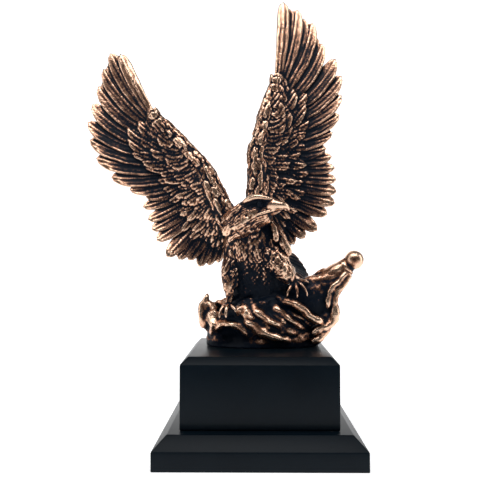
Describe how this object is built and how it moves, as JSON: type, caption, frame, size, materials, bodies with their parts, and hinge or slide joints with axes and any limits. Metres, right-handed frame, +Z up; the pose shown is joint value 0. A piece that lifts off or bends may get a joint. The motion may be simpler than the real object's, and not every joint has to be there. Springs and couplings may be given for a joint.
{
  "type": "eagle award trophy",
  "caption": "Eagle with raised wings landing on a furled flag, an antique copper casting on a stepped black plinth.",
  "frame": {"origin": "centre of the lower slab's underside, on the table", "axes": "+Z up, -Y towards the viewer whom the front of the plinth faces, +X to that viewer's right"},
  "size_m": [0.1969, 0.127, 0.3169],
  "materials": {
    "black_lacquer": "satin black lacquer on wood, smooth, with soft reflections",
    "antique_copper": "antique copper plating, bright where rubbed and nearly black in the recesses"
  },
  "bodies": {
    "root": {"base_slab": "black_lacquer", "plinth_block": "black_lacquer", "eagle_casting": "antique_copper"}
  },
  "joints": []
}
